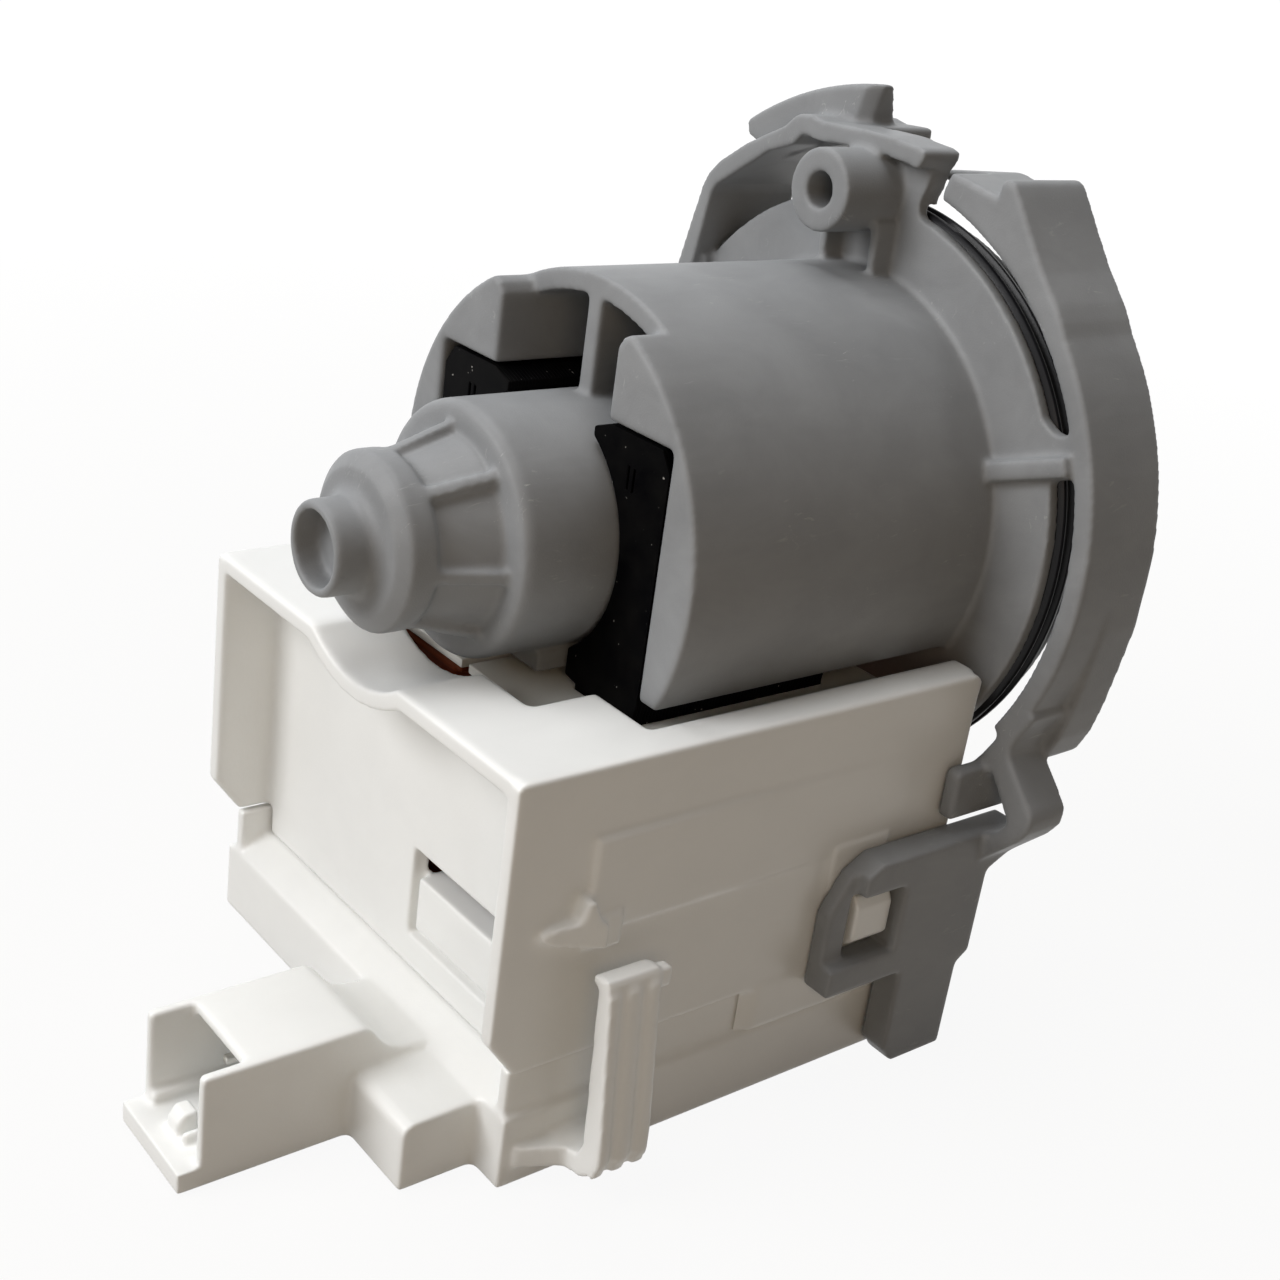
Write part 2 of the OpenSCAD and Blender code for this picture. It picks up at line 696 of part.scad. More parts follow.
// raised trim, cleat and catch on the right side of the cover
module side_trim() {
    x = cover_half_w - 0.01;
    translate([0, 0, skirt_z + 0.2]) linear_extrude(28) polygon([[x - 0.5, -60.4],
        [x + 0.36, -60.4], [x + 0.03, -10.8], [x - 0.5, -10.8]]);
    along_x(x, x + 1.1) polygon([[-66.8, -32.6], [-66.2, -32], [-65.2, -31.7], [-62.4, -31.5],
        [-61.7, -29], [-60.9, -28.9], [-59.9, -31.2], [-58.4, -33], [-58.4, -35.4],
        [-65, -33.9], [-66.4, -33.3]]);
    block([x, x + 1.3], [-58.9, -56.2], [-35.9, -31.9]);
    catch_x = x + 3.2;
    along_y(-20, -13.8) polygon([[x, -39.3], [catch_x - 1, -39.3], [catch_x, -41],
        [catch_x, -45.5], [catch_x - 1, -46.5], [x, -46.5]]);
    block([x, x + 0.35], [-22.7, -13.8], [-39.2, -33.2]);
}

// snap tab behind the window of the front panel
module front_tab() {
    y = panel_y + cover_wall;
    block([2, cover_in + lap], [y - lap, y + 3.4], [-50.4, -49.2]);
    block([5.1, 23.8], [panel_y + 0.3, y + 2.8], [-49.8, -42]);
}

// white base under the coils with the connector socket and the cable clip
module terminal_base() {
    color(white) difference() {
        union() {
            base_tray();
            socket_shell();
            right_block();
            cable_clip();
        }
        block([-neck_half_w + neck_wall, neck_half_w - neck_wall],
            [panel_y + 1.8, base_back - 1.8],
            [base_bottom + base_floor_t, -40]);
        socket_inside();
    }
    color(white) socket_keys();
}

// tray with the neck that slides up inside the coil cover
module base_tray() {
    block([-base_left, base_half_w], [base_front, base_back], [base_bottom, base_top]);
    along_x(-neck_half_w, neck_half_w) polygon([[base_front, base_top - lap],
        [panel_y, base_top - lap], [panel_y, panel_foot + 0.3], [panel_y - 0.7, panel_foot - 0.2],
        [base_front, base_top]]);
    both_sides() block([neck_half_w - lap, neck_out], [base_front + 0.3, base_back],
        [base_top - lap, skirt_z - 0.2]);
    block([-neck_half_w, neck_half_w], [panel_y - 0.5, base_back],
        [base_top - lap, panel_foot - seat]);
    difference() {
        block([-neck_half_w, neck_half_w], [panel_y + cover_wall + seat + 3.6, base_back],
            [base_top, skirt_z + 1.5]);
        block([-neck_half_w - cut, neck_half_w + cut], [base_back - 12, base_back + cut],
            [panel_foot, -30]);
    }
}

// socket with a lid over its rear part and a floor tongue in front
module socket_shell() {
    block([socket_x, socket_x + socket_w], [-socket_front, socket_end],
        [base_bottom, socket_top]);
    block([socket_x, socket_x + socket_w], [-socket_front - tongue_len, base_front],
        [base_bottom, socket_floor]);
    along_x(socket_x, socket_x + socket_w) polygon([[socket_end - lap, base_bottom],
        [base_front + lap, base_bottom], [base_front + lap, base_top + 0.3],
        [socket_end + 5.5, base_top + 0.6], [socket_end + 3.9, base_top + 1.2],
        [socket_end + 2.7, base_top + 2.3], [socket_end + 1.7, base_top + 3.7],
        [socket_end + 0.9, socket_top - 0.4], [socket_end, socket_top],
        [socket_end - lap, socket_top]]);
}

module socket_inside() {
    block([socket_x + socket_wall, socket_x + socket_w - socket_wall],
        [-socket_front - tongue_len - cut, socket_back],
        [socket_floor, socket_top - socket_wall]);
    block([socket_x + socket_wall, socket_x + socket_w - socket_wall],
        [-socket_front - cut, socket_lid], [socket_floor, socket_top + cut]);
    for (i = [0, 1])
        block([pin_x + i * pin_pitch - 1, pin_x + i * pin_pitch + 1], [socket_back - cut, -59],
            [pin_z - 1, pin_z + 1]);
}

// raised keys on the floor of the socket
module socket_keys() {
    mid = socket_x + socket_w / 2;
    block([socket_x + 1, socket_x + 2.6], [-socket_front, -80], [socket_floor - lap, socket_floor + 1.4]);
    along_x(mid - 1.4, mid + 1.4) polygon([[-socket_front, socket_floor - lap],
        [-socket_front, socket_floor + 1.3], [-socket_front + 1, socket_floor + 2.6],
        [-socket_front + 2.6, socket_floor + 2.6], [-socket_front + 2.6, socket_floor - lap]]);
    block([mid + 2.2, mid + 3.2], [-socket_front, -80], [socket_floor - lap, socket_floor + 1.4]);
}

// block to the right of the socket
module right_block() {
    x0 = socket_x + socket_w - lap;
    x1 = 28.2;
    along_x(x0, x1) polygon([[-77.6, base_bottom], [-77.6, base_top - 1.7],
        [-77.2, base_top - 1], [-76.4, base_top - 0.6], [base_front + lap, base_top - 0.3],
        [base_front + lap, base_bottom]]);
}

// springy cable clip: a tongue from the base, a ribbed upright and a small hook
module cable_clip() {
    x = clip_x;
    low = base_bottom;
    top = low + clip_h;
    tip = clip_t - 0.8;
    along_y(clip_y, clip_y + clip_w) polygon([[base_half_w - lap, low + 2.9],
        [base_half_w - lap, low + 6.3], [x - 1.6, low + 5.5], [x + 0.3, low + 6],
        [x + 1.1, low + 8], [x, top - 1.6], [x - 1, top - 1.2], [x - 1, top - 0.3],
        [x + tip - 0.4, top], [x + tip, top - 0.6], [x + 1.1 + clip_t, low + 9.5],
        [x + 1.2 + clip_t, low + 6.9], [x + 0.4 + clip_t, low + 4.7],
        [x - 1.2 + clip_t, low + 3.5], [x - 3.9 + clip_t, low + 2.9]]);
    for (i = [0:2])
        along_y(clip_y + i * (clip_w - 1.4) / 2, clip_y + i * (clip_w - 1.4) / 2 + 1.4)
            polygon([[x + tip - 0.6, top - 2], [x + tip, top - 1], [x + tip + 0.5, top - 1.8],
                [x + 1.6 + clip_t, low + 9.3], [x + 1.7 + clip_t, low + 6.7],
                [x + 0.8 + clip_t, low + 4.3], [x + clip_t - 0.2, low + 5.4],
                [x + clip_t + 0.2, low + 9]]);
    translate([0, 0, low + 2.9]) linear_extrude(2.8) polygon([[base_half_w - lap, clip_y - 5.6],
        [base_half_w + 0.6, clip_y - 5.2], [x - 1.2, clip_y + lap],
        [base_half_w - lap, clip_y + lap]]);
    block([x - 0.2, x + tip - 0.2], [clip_y + clip_w - lap, clip_y + clip_w + 2],
        [top - 3, top - 0.5]);
}

// two flat contacts that reach from the socket into the base
module terminal_pins() {
    color(steel) for (i = [0, 1])
        block([pin_x + i * pin_pitch - pin_w / 2, pin_x + i * pin_pitch + pin_w / 2],
            [-socket_front + pin_tip, -socket_front + pin_tip + pin_len],
            [pin_z - pin_w / 2, pin_z + pin_w / 2]);
}

// rubber boot that holds a bearing, with a lip behind it
module boot(y0, open_end) {
    difference() {
        rod(boot_r, y0, y0 + boot_len - 0.4);
        rod(bearing_r + seat, open_end, open_end + bearing_len + 0.4);
        rod(shaft_r + 0.6, y0 - cut, y0 + boot_len + cut);
    }
}

module front_bearing_boot() {
    color([0.12, 0.12, 0.13]) boot(front_boot_y + 0.1, front_bearing_y - seat);
}

module front_bearing() {
    color([0.85, 0.82, 0.74]) ring(shaft_r + run_clear, bearing_r, front_bearing_y,
        front_bearing_y + bearing_len);
}

module rear_bearing() {
    color([0.85, 0.82, 0.74]) ring(shaft_r + run_clear, bearing_r, rear_bearing_y,
        rear_bearing_y + bearing_len);
}

module rear_bearing_boot() {
    color([0.12, 0.12, 0.13]) difference() {
        rod(boot_r, rear_boot_y, rear_boot_y + boot_len - 0.2);
        rod(bearing_r + seat, rear_boot_y - cut, rear_bearing_y + bearing_len + seat);
        rod(shaft_r + 0.6, rear_boot_y, rear_boot_y + boot_len + cut);
    }
}

// plate that closes the rotor well and carries the rear bearing
module bearing_plate() {
    color([0.35, 0.36, 0.38]) difference() {
        union() {
            rod(cavity_r - seat, plate_front, floor_t);
            rod(plate_rim_r, floor_t - plate_rim_t, floor_t);
        }
        rod(boot_r + seat, plate_front - cut, rear_boot_y + boot_len);
        rod(shaft_r + 0.8, plate_front, floor_t + cut);
        ring(seal_groove_r, cavity_r + cut, seal_groove_y, seal_groove_y + seal_groove_w);
        for (a = [45:90:315])
            rotate([0, a, 0]) translate([plate_rim_r - 2.6, 0, 0])
                rod(0.9, floor_t - 1, floor_t + cut);
    }
}

// rubber ring in the groove of the closing plate
module plate_seal() {
    r = (cavity_r - seal_groove_r) / 2 - seat;
    color(black) translate([0, seal_groove_y + seal_groove_w / 2, 0]) rotate([-90, 0, 0])
        rotate_extrude() translate([seal_groove_r + r + seat, 0]) circle(r = r, $fn = 24);
}

// shaft with a chamfer at both ends
module rotor_shaft() {
    color(steel) turned() polygon([
        [0, shaft_front], [shaft_r - 0.4, shaft_front], [shaft_r, shaft_front + 0.4],
        [shaft_r, shaft_back - 0.4], [shaft_r - 0.4, shaft_back], [0, shaft_back]]);
}

// magnet moulded round its bush
module rotor_magnet() {
    y0 = magnet_mid - magnet_len / 2;
    color([0.2, 0.2, 0.21]) turned() polygon([
        [bush_r + seat, y0], [magnet_r - 0.6, y0], [magnet_r, y0 + 0.6],
        [magnet_r, y0 + magnet_len - 0.6], [magnet_r - 0.6, y0 + magnet_len],
        [bush_r + seat, y0 + magnet_len]]);
}

module magnet_bush() {
    y0 = magnet_mid - magnet_len / 2;
    color([0.8, 0.8, 0.78]) turned() polygon([
        [shaft_r + seat, bush_front], [washer_r, bush_front], [bush_rim_r, bush_front + 2],
        [bush_rim_r, y0 - seat], [bush_r, y0 - seat], [bush_r, y0 + magnet_len + seat],
        [bush_rim_r, y0 + magnet_len + seat], [bush_rim_r, bush_back - 1], [washer_r, bush_back],
        [shaft_r + seat, bush_back]]);
}

// one washer at each end of the rotor
module thrust_washers() {
    color([0.15, 0.15, 0.15]) {
        ring(shaft_r + seat, washer_r - 0.4, rotor_front, rotor_front + washer_t - seat);
        ring(shaft_r + seat, washer_r - 0.4, rotor_back - washer_t + seat, rotor_back);
    }
}

// driving dog pressed on the shaft inside the impeller hub
module clutch_dog() {
    color([0.75, 0.75, 0.72]) difference() {
        union() {
            rod(dog_hub_r, dog_front, dog_front + dog_len);
            intersection() {
                rod(dog_r, dog_front, dog_front + dog_len);
                along_y(dog_front, dog_front + dog_len) wedge(-dog_angle / 2, dog_angle / 2, 20);
            }
        }
        rod(shaft_r + seat, dog_front - cut, dog_front + dog_len + cut);
    }
}

// angle from the middle of the dog to the edge of the stop at the start of the travel
stop_start = dog_angle / 2 + damper_angle + 4;

// rubber pads on the two faces of the stop
module clutch_damper() {
    y0 = impeller_y + impeller_plate;
    color([0.1, 0.1, 0.1]) intersection() {
        ring(dog_hub_r + air, hub_cup_r - seat, y0 + seat, cap_front - seat);
        union() {
            along_y(y0, cap_front) wedge(stop_start - damper_angle, stop_start - 0.2, 20);
            along_y(y0, cap_front) wedge(stop_start + stop_angle + 0.2,
                stop_start + stop_angle + damper_angle, 20);
        }
    }
}

// impeller with an open hub that holds the clutch
module impeller() {
    y0 = impeller_y;
    y1 = y0 + impeller_plate;
    color([0.82, 0.83, 0.82]) difference() {
        union() {
            rod(impeller_r - 3, y0, y1);
            ring(hub_cup_r, hub_r, y0, y0 + hub_len);
            intersection() {
                ring(dog_hub_r + air, hub_cup_r + lap, y1 - lap, cap_front);
                along_y(y0, cap_front + cut) wedge(stop_start, stop_start + stop_angle, 20);
            }
            for (i = [0:blade_count - 1])
                rotate([0, i * 360 / blade_count, 0]) blade();
        }
        rod(shaft_r + run_clear, y0 - cut, y1 + cut);
    }
}

// one blade, curved back from the hub to the rim
module blade() {
    sweep_r = 26;
    y0 = impeller_y + 0.3;
    y1 = impeller_y + impeller_h;
    intersection() {
        translate([hub_r - 2, 0, 1 - sweep_r]) ring(sweep_r - blade_t, sweep_r, y0, y1);
        rod(impeller_r, y0 - cut, y1 + cut);
        block([hub_r - 0.9, impeller_r + cut], [y0 - cut, y1 + cut], [-9, 9]);
    }
}

// cap pressed into the hub, with a blind hole for the end of the shaft
module impeller_cap() {
    top = cap_front + cap_t;
    color([0.82, 0.83, 0.82]) difference() {
        turned() polygon([[0, cap_front], [hub_cup_r - seat, cap_front], [hub_cup_r - seat, top],
            [hub_cup_r - cap_dome, top + cap_dome * 2 / 3], [shaft_r + 0.5, top + cap_dome],
            [0, top + cap_dome]]);
        rod(shaft_r + run_clear, cap_front - cut, shaft_back + air);
    }
}

pump_body();
port_seal();
stator_core();
bobbin_left();
bobbin_right();
winding_left();
winding_right();
thermal_cutout();
coil_leads();
coil_cover();
terminal_base();
terminal_pins();
front_bearing();
front_bearing_boot();
rear_bearing();
rear_bearing_boot();
bearing_plate();
plate_seal();
rotor_shaft();
rotor_magnet();
magnet_bush();
thrust_washers();
clutch_dog();
impeller();
impeller_cap();
clutch_damper();
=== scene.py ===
import math

import bmesh
import bpy
from mathutils import Matrix, Vector
from mathutils.bvhtree import BVHTree
from mathutils.geometry import intersect_point_line
from mathutils.kdtree import KDTree


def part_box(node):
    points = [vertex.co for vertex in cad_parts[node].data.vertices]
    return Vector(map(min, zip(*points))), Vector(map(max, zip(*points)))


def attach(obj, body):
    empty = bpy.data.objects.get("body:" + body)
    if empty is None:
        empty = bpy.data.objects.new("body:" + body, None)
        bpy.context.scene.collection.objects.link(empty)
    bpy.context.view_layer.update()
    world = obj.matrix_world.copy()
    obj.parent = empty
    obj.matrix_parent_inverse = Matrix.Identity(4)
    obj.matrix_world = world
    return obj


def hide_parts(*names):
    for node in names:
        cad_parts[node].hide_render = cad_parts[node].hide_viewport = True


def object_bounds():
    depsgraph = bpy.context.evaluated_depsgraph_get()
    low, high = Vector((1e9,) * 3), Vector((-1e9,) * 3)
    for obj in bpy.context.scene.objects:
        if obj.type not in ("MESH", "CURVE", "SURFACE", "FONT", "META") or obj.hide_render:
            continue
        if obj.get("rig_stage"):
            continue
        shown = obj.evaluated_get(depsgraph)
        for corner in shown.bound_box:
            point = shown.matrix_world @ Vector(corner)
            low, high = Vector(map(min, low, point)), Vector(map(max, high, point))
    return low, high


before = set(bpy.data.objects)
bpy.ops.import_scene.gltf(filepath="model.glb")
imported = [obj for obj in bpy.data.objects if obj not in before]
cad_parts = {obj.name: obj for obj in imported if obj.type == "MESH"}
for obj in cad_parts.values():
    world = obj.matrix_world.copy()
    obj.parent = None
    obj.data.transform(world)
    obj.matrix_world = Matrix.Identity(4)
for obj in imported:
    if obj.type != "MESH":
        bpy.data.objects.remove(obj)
cad_low, cad_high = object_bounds()

# Studio. A pale floor that the base stands on, one large soft box at the front left, a weaker
# one overhead and a faint warm one from the right. The camera looks down from the front right.
MM = 0.001


def add_node(tree, kind, values=None, **settings):
    """One shader node with its settings, and with values or links for its inputs."""
    made = tree.nodes.new(kind)
    for key, value in settings.items():
        setattr(made, key, value)
    for key, value in (values or {}).items():
        if isinstance(value, bpy.types.NodeSocket):
            tree.links.new(value, made.inputs[key])
        else:
            made.inputs[key].default_value = value
    return made


def soft_box(name, place, watts, size, colour):
    """One rectangular lamp that faces the middle of the pump."""
    bpy.ops.object.light_add(type="AREA", location=place)
    lamp = bpy.context.object
    lamp.name = name
    lamp.rotation_euler = (-Vector(place)).to_track_quat("-Z", "Y").to_euler()
    lamp.data.energy = watts
    lamp.data.size = size
    lamp.data.color = colour
    lamp.visible_camera = False


soft_box("front_box", (-0.26, -0.84, 0.52), 8.0, 0.6, (0.985, 0.99, 1.0))
soft_box("overhead_box", (-0.22, 0.0, 0.98), 6.3, 0.6, (0.99, 0.995, 1.0))
soft_box("right_warm_box", (0.29, -0.22, 0.12), 0.135, 0.15, (1.0, 0.74, 0.47))

WORLD_FILL = 0.055
world = bpy.data.worlds.new("white_room")
bpy.context.scene.world = world
world.use_nodes = True
room = world.node_tree
room.nodes.clear()
ray = add_node(room, "ShaderNodeLightPath")
seen = add_node(room, "ShaderNodeMath", {0: ray.outputs["Is Camera Ray"],
    1: ray.outputs["Is Glossy Ray"]}, operation="MAXIMUM")
seen = add_node(room, "ShaderNodeMath", {0: seen.outputs[0],
    1: ray.outputs["Is Transmission Ray"]}, operation="MAXIMUM")
level = add_node(room, "ShaderNodeMapRange", {"Value": seen.outputs[0], "To Min": WORLD_FILL,
    "To Max": 1.0})
glow = add_node(room, "ShaderNodeBackground", {"Color": (1, 1, 1, 1),
    "Strength": level.outputs[0]})
add_node(room, "ShaderNodeOutputWorld", {"Surface": glow.outputs[0]})

FLOOR_SPAN = 40.0
FADE_FROM, FADE_TO = 0.1, 0.6  # the floor turns as white as the room between these distances
bpy.ops.mesh.primitive_plane_add(size=FLOOR_SPAN, location=(0, 0, cad_low.z))
floor = bpy.context.object
floor.name = "floor"
floor_look = bpy.data.materials.new("pale_floor")
floor_look.use_nodes = True
tree = floor_look.node_tree
tree.nodes.clear()
path = add_node(tree, "ShaderNodeLightPath")
plain = add_node(tree, "ShaderNodeBsdfDiffuse", {"Color": (0.40, 0.37, 0.33, 1)})
lit = add_node(tree, "ShaderNodeEmission", {"Color": (1, 1, 1, 1), "Strength": 1.03})
direct = add_node(tree, "ShaderNodeMath", {0: path.outputs["Is Camera Ray"],
    1: path.outputs["Is Glossy Ray"]}, operation="MAXIMUM")
spot = add_node(tree, "ShaderNodeTexCoord").outputs["Object"]
away = add_node(tree, "ShaderNodeVectorMath", {0: spot}, operation="LENGTH").outputs["Value"]
fade = add_node(tree, "ShaderNodeMapRange", {"Value": away, "From Min": FADE_FROM,
    "From Max": FADE_TO, "To Min": 0.90, "To Max": 1.0}).outputs[0]
share = add_node(tree, "ShaderNodeMath", {0: direct.outputs[0], 1: fade}, operation="MULTIPLY")
mixed = add_node(tree, "ShaderNodeMixShader", {0: share.outputs[0], 1: plain.outputs[0],
    2: lit.outputs[0]})
add_node(tree, "ShaderNodeOutputMaterial", {"Surface": mixed.outputs[0]})
floor.data.materials.append(floor_look)
floor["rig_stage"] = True

# The camera was solved from the photo, which is PHOTO_SIDE pixels wide and high.
PHOTO_SIDE = 1280
FOCAL_PIXELS = 1810.09
SENSOR = 36
DISTANCE, SHIFT_LEFT, SHIFT_DOWN = 0.242152, 0.024934, 0.021447
turn, height, roll = (math.radians(a) for a in (48.711, 23.121, 8.099))
back = Vector((math.sin(turn) * math.cos(height), -math.cos(turn) * math.cos(height),
    math.sin(height)))
level_right = Vector((math.cos(turn), math.sin(turn), 0))
level_up = back.cross(level_right)
right = level_right * math.cos(roll) + level_up * math.sin(roll)
up = level_up * math.cos(roll) - level_right * math.sin(roll)
camera_data = bpy.data.cameras.new("camera")
camera = bpy.data.objects.new("camera", camera_data)
bpy.context.scene.collection.objects.link(camera)
stand = Matrix((right, up, back)).transposed().to_4x4()
stand.translation = back * DISTANCE - right * SHIFT_LEFT - up * SHIFT_DOWN
camera.matrix_world = stand
camera_data.sensor_width = SENSOR
camera_data.lens = FOCAL_PIXELS / PHOTO_SIDE * SENSOR
camera_data.clip_start = 0.01
bpy.context.scene.camera = camera
bpy.context.scene.view_settings.view_transform = "Standard"

# Pump body. One grey moulding of mineral filled polypropylene: rotor well with its ribbed hub,
# shroud, flange, hood, guard and latch. Its edges are softly rounded and the skin is matt, with
# faint flow marks from the gate and pale scuffs.
GREY = (0.262, 0.268, 0.275, 1)
SAME_POINT = 0.000003
FLAT = math.radians(0.8)
SMOOTH = math.radians(32)
IN_LINE = 0.93
ROOM_SHARE = 0.45
# How far a rounded face and its corners may leave the old surface, as shares of the radius, and
# how far the face may tip over.
FACE_LIMIT, CORNER_LIMIT, TIP_LIMIT = 0.6, 0.7, 0.1
TRIES, GENTLE_TRIES = 9, 6
MOST_FACES = 190000
DETAIL_SHARE = 0.3


def only(piece):
    """Selects one object alone and makes it the active one."""
    for other in bpy.context.selected_objects:
        other.select_set(False)
    piece.select_set(True)
    bpy.context.view_layer.objects.active = piece


def merged_copy(node, name):
    """A copy of a CAD node with its loose triangles merged into whole faces."""
    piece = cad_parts[node].copy()
    piece.data = piece.data.copy()
    piece.name = name
    for key in [k for k in piece.keys() if k.startswith("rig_")]:
        del piece[key]
    bpy.context.scene.collection.objects.link(piece)
    piece.parent = None
    piece.matrix_world = Matrix.Identity(4)
    piece.data.materials.clear()
    only(piece)
    if piece.data.has_custom_normals:
        bpy.ops.mesh.customdata_custom_splitnormals_clear()
    bpy.ops.object.mode_set(mode="EDIT")
    bpy.ops.mesh.select_all(action="SELECT")
    bpy.ops.mesh.remove_doubles(threshold=SAME_POINT)
    bpy.ops.mesh.dissolve_degenerate(threshold=SAME_POINT)
    bpy.ops.mesh.select_all(action="SELECT")
    bpy.ops.mesh.dissolve_limited(angle_limit=FLAT)
    bpy.ops.object.mode_set(mode="OBJECT")
    return piece


def edge_room(edge, reach):
    """How far an edge can be rounded before it runs into its neighbours."""
    space = reach
    for end in edge.verts:
        along = (end.co - edge.other_vert(end).co).normalized()
        for near in end.link_edges:
            side = near.other_vert(end).co - end.co
            lean = side.normalized().dot(along)
            if near is not edge and abs(lean) < IN_LINE:
                space = min(space, ROOM_SHARE * side.length * math.sqrt(1 - lean * lean))
    return space


def torn_spots(piece, surface, reach):
    """Points where the rounded mesh leaves the surface it was made from or folds over."""
    rounded = piece.evaluated_get(bpy.context.evaluated_depsgraph_get())
    mesh = rounded.to_mesh()
    mesh.calc_loop_triangles()
    spots = []
    for corner in mesh.loop_triangles:
        if corner.area > 1e-10:
            points = [mesh.vertices[i].co for i in corner.vertices]
            middle = (points[0] + points[1] + points[2]) / 3
            _, normal, _, away = surface.find_nearest(middle)
            if away > FACE_LIMIT * reach or corner.normal.dot(normal) < TIP_LIMIT:
                spots.append(middle)
            elif max(surface.find_nearest(p)[3] for p in points) > CORNER_LIMIT * reach:
                spots.append(middle)
    rounded.to_mesh_clear()
    return spots


def rounded_copy(node, name, radius, steps=2, sharp=28):
    """A merged copy of a CAD node with its sharp edges rounded wherever they have room.

    Where the rounding tears the mesh, the edges near by are rounded less, and last not at all.
    """
    piece = merged_copy(node, name)
    shape = bmesh.new()
    shape.from_mesh(piece.data)
    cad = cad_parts[node].data
    surface = BVHTree.FromPolygons([v.co for v in cad.vertices],
        [p.vertices for p in cad.polygons])
    share_of = shape.edges.layers.float.new("bevel_weight_edge")
    corners = [e for e in shape.edges
        if len(e.link_faces) == 2 and e.calc_face_angle(0) > math.radians(sharp)]
    for edge in corners:
        edge[share_of] = edge_room(edge, radius) / radius
    shape.to_mesh(piece.data)
    bevel = piece.modifiers.new("rounded edges", "BEVEL")
    bevel.limit_method = "WEIGHT"
    bevel.width = radius
    bevel.segments = steps
    bevel.use_clamp_overlap = False
    for attempt in range(TRIES):
        spots = torn_spots(piece, surface, radius)
        if not spots:
            break
        tree = KDTree(len(spots))
        for i, spot in enumerate(spots):
            tree.insert(spot, i)
        tree.balance()
        for edge in corners:
            middle = (edge.verts[0].co + edge.verts[1].co) / 2
            for spot, _, _ in tree.find_range(middle, edge.calc_length() / 2 + 2 * radius):
                _, part = intersect_point_line(spot, edge.verts[0].co, edge.verts[1].co)
                close = edge.verts[0].co.lerp(edge.verts[1].co, min(1, max(0, part)))
                if (close - spot).length < 1.5 * radius:
                    edge[share_of] *= 0.6 if attempt < GENTLE_TRIES else 0
                    break
        shape.to_mesh(piece.data)
        piece.data.update()
    shape.free()
    bpy.ops.object.modifier_apply(modifier=bevel.name)
    bpy.ops.object.shade_smooth_by_angle(angle=SMOOTH)
    even = piece.modifiers.new("even shading", "WEIGHTED_NORMAL")
    even.keep_sharp = True
    bpy.ops.object.modifier_apply(modifier=even.name)
    return piece


def soften(piece, grid, passes, fine=()):
    """Lays one even skin over a merged copy and relaxes it so that every edge is soft.

    Inside the boxes of fine, given in millimetres, it relaxes less, to keep small detail.
    """
    only(piece)
    skin = piece.modifiers.new("even skin", "REMESH")
    skin.mode = "VOXEL"
    skin.voxel_size = grid * MM
    skin.use_smooth_shade = True
    bpy.ops.object.modifier_apply(modifier=skin.name)
    plain = piece.vertex_groups.new(name="plain")
    detail = []
    for point in piece.data.vertices:
        if any(all(low[k] * MM < point.co[k] < high[k] * MM for k in range(3))
               for low, high in fine):
            detail.append(point.index)
    plain.add(range(len(piece.data.vertices)), 1.0, "REPLACE")
    plain.add(detail, DETAIL_SHARE, "REPLACE")
    relax = piece.modifiers.new("soft edges", "SMOOTH")
    relax.factor = 0.5
    relax.iterations = passes
    relax.vertex_group = plain.name
    bpy.ops.object.modifier_apply(modifier=relax.name)
    count = 2 * len(piece.data.polygons)
    if count > MOST_FACES:
        fewer = piece.modifiers.new("fewer faces", "DECIMATE")
        fewer.ratio = MOST_FACES / count
        bpy.ops.object.modifier_apply(modifier=fewer.name)
    piece.vertex_groups.clear()
    bpy.ops.object.shade_smooth()
    return piece


def soft_copy(node, name, grid, passes, fine=()):
    """A merged copy of a CAD node with soft edges."""
    return soften(merged_copy(node, name), grid, passes, fine)


def cutter(low, high):
    """A box between two corners given in millimetres, to cut with or to join on."""
    bpy.ops.mesh.primitive_cube_add(size=1.0)
    box = bpy.context.object
    for point in box.data.vertices:
        for k in range(3):
            point.co[k] = (high[k] if point.co[k] > 0 else low[k]) * MM
    return box


def combine(piece, tool, how):
    """Cuts a tool's shape out of a piece or joins it on, and deletes the tool."""
    only(piece)
    change = piece.modifiers.new("combined", "BOOLEAN")
    change.operation = how
    change.object = tool
    change.solver = "EXACT"
    bpy.ops.object.modifier_apply(modifier=change.name)
    bpy.data.objects.remove(tool)


def new_group(name, inputs, outputs):
    """An empty shader node group with named inputs and outputs."""
    group = bpy.data.node_groups.new(name, "ShaderNodeTree")
    for label, kind, start in inputs:
        socket = group.interface.new_socket(label, in_out="INPUT", socket_type=kind)
        socket.default_value = start
    for label, kind in outputs:
        group.interface.new_socket(label, in_out="OUTPUT", socket_type=kind)
    return group, add_node(group, "NodeGroupInput"), add_node(group, "NodeGroupOutput")


def new_look(name):
    """A new material with its node tree and its Principled shader."""
    look = bpy.data.materials.new(name)
    look.use_nodes = True
    return look, look.node_tree, look.node_tree.nodes["Principled BSDF"]


def two_tones(tree, share, dark, pale, low=0.0, high=1.0):
    """A colour that runs from dark to pale while share runs from low to high."""
    ramp = add_node(tree, "ShaderNodeValToRGB", {"Fac": share})
    for stop, place, colour in zip(ramp.color_ramp.elements, (low, high), (dark, pale)):
        stop.position = place
        stop.color = colour
    return ramp.outputs[0]


